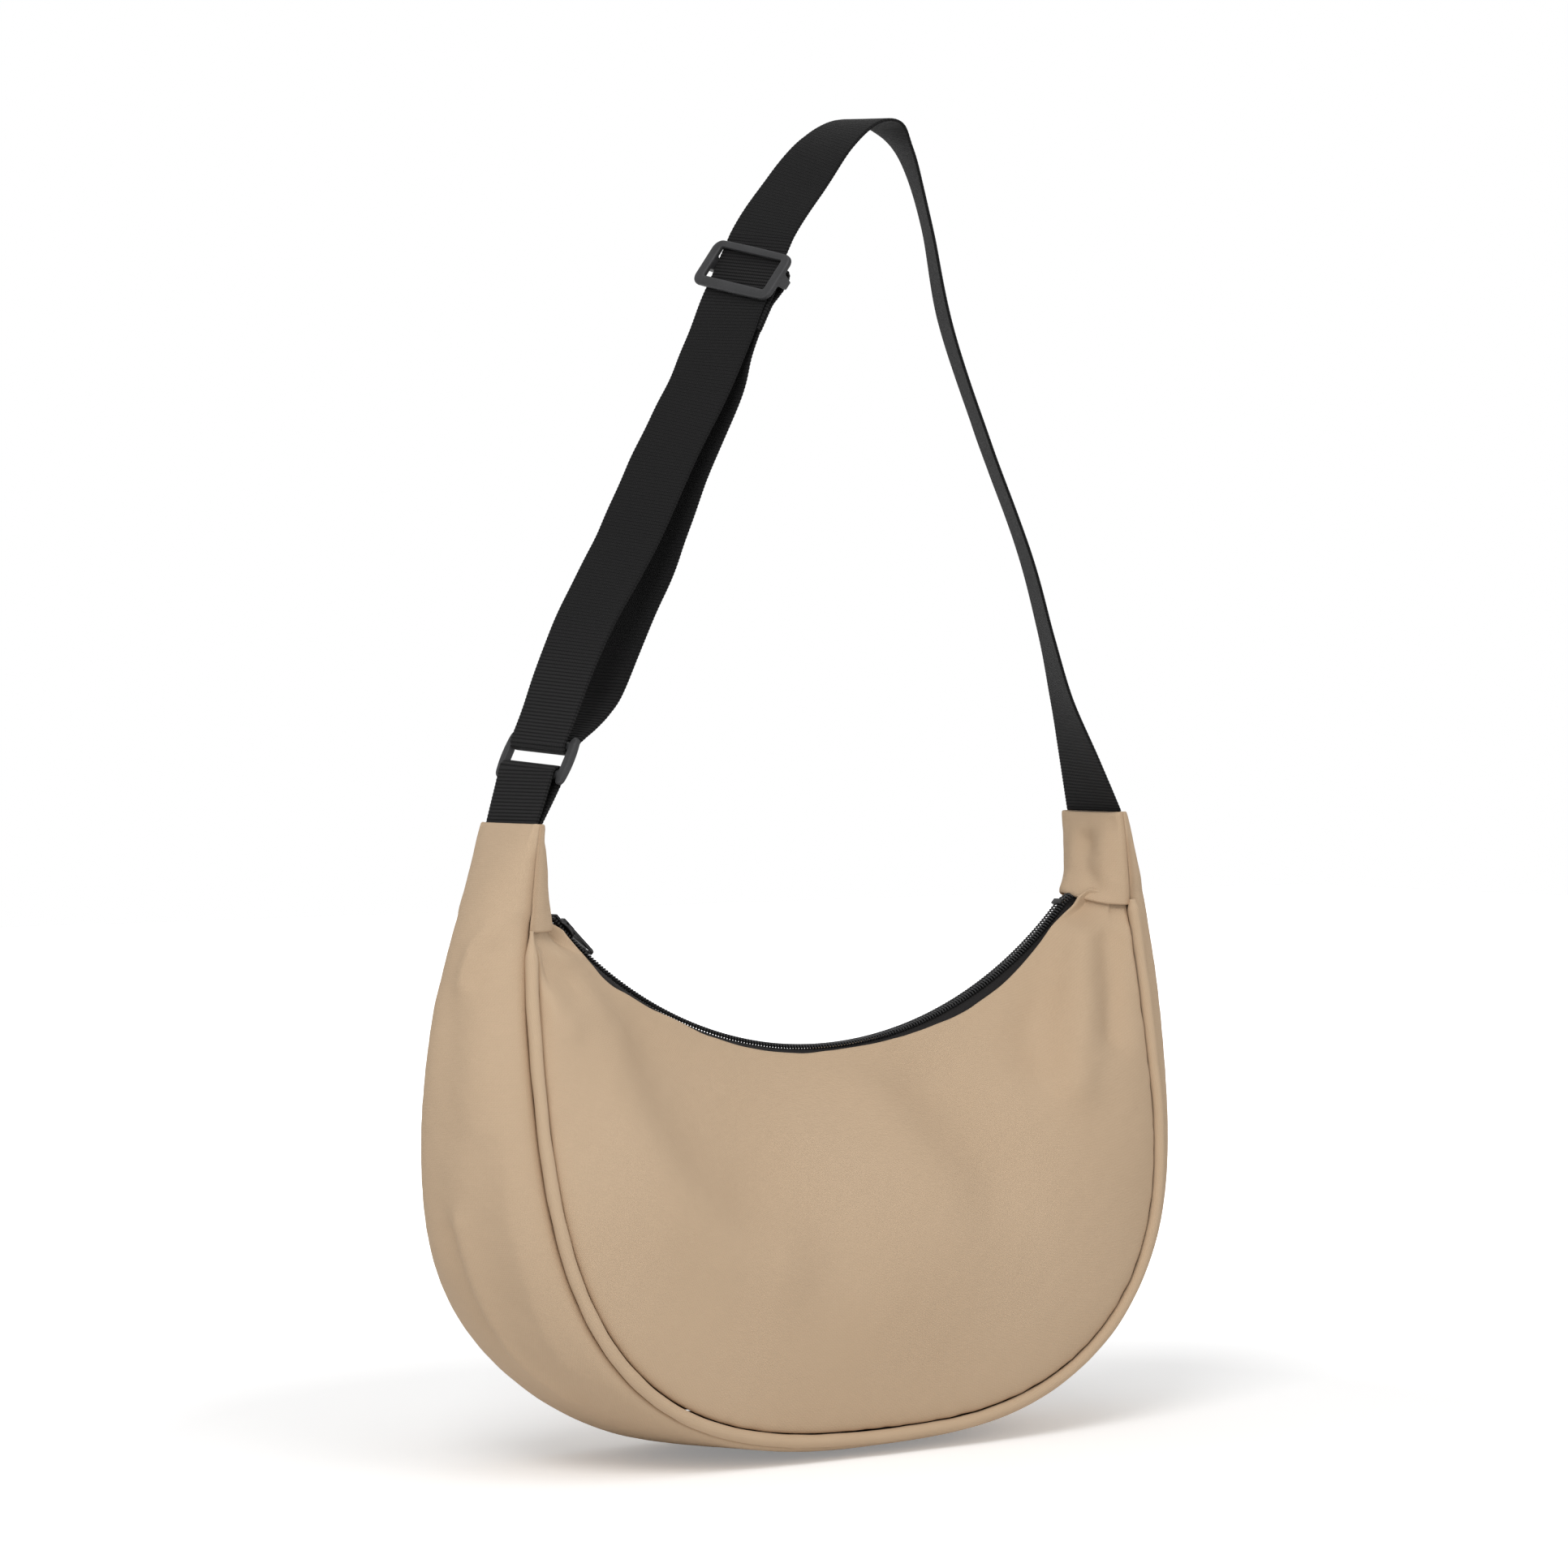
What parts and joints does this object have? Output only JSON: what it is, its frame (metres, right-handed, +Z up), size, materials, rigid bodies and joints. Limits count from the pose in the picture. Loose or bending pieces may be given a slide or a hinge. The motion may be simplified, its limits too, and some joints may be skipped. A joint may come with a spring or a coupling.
{
  "type": "half moon bag",
  "caption": "Curved shoulder bag with a zipped compartment, piped gusset and an adjustable webbing strap.",
  "frame": {"origin": "middle of the strap's underside at its crest, where the bag hangs", "axes": "+X to the wearer's view right along the bag's width, +Y from the front panel to the back panel, +Z up"},
  "size_m": [0.3975, 0.1088, 0.5952],
  "materials": {
    "shell_fabric": "matte",
    "piping_fabric": "matte",
    "webbing": "matte",
    "lining_cloth": "matte",
    "zip_tape_cloth": "matte",
    "zip_nylon": "satin",
    "slider_metal": "satin",
    "buckle_plastic": "satin"
  },
  "bodies": {
    "strap": {"shoulder_strap": "webbing", "strap_right_end": "webbing"},
    "bag": {"front_panel": "shell_fabric", "back_panel": "shell_fabric", "gusset": "shell_fabric", "front_piping": "piping_fabric", "back_piping": "piping_fabric", "left_tab": "shell_fabric", "right_tab": "shell_fabric", "front_lining": "lining_cloth", "back_lining": "lining_cloth", "gusset_lining": "lining_cloth", "inner_pocket": "lining_cloth", "front_zip_tape": "zip_tape_cloth", "back_zip_tape": "zip_tape_cloth", "front_zip_teeth": "zip_nylon", "back_zip_teeth": "zip_nylon", "zip_end_stops": "zip_nylon", "left_loop_root": "webbing", "left_loop": "webbing", "right_strap_root": "webbing"},
    "ring": {"rectangular_ring": "buckle_plastic"},
    "adjuster": {"slide_adjuster": "buckle_plastic", "strap_sewn_end": "webbing", "strap_return": "webbing"},
    "zip_slider": {"zip_slider": "slider_metal"},
    "zip_puller": {"zip_puller": "slider_metal"}
  },
  "joints": [
    {"name": "bag_swing", "type": "hinge", "parent": "strap", "child": "bag", "pos_m": [-0.01438, 0.02086, -0.31132], "axis": [1, 0, 0], "range_deg": [-90, 90], "deforming": ["left_loop", "strap_right_end"]},
    {"name": "ring_swing", "type": "hinge", "parent": "strap", "child": "ring", "pos_m": [-0.16373, 0.02086, -0.27748], "axis": [-0.0475, 0.9971, 0.0601], "range_deg": [-15, 15], "deforming": ["left_loop"]},
    {"name": "strap_adjust", "type": "slide", "parent": "strap", "child": "adjuster", "axis": [0.4587, -0.0317, 0.888], "range_m": [-0.11, 0.004], "deforming": ["strap_return"]},
    {"name": "zip_travel", "type": "hinge", "parent": "bag", "child": "zip_slider", "pos_m": [-0.01438, 0.02086, -0.211], "axis": [0, -1, 0], "range_deg": [0, 86.4]},
    {"name": "puller_flip", "type": "hinge", "parent": "zip_slider", "child": "zip_puller", "pos_m": [-0.15166, 0.02086, -0.35627], "axis": [0, -1, 0], "range_deg": [0, 150]}
  ]
}
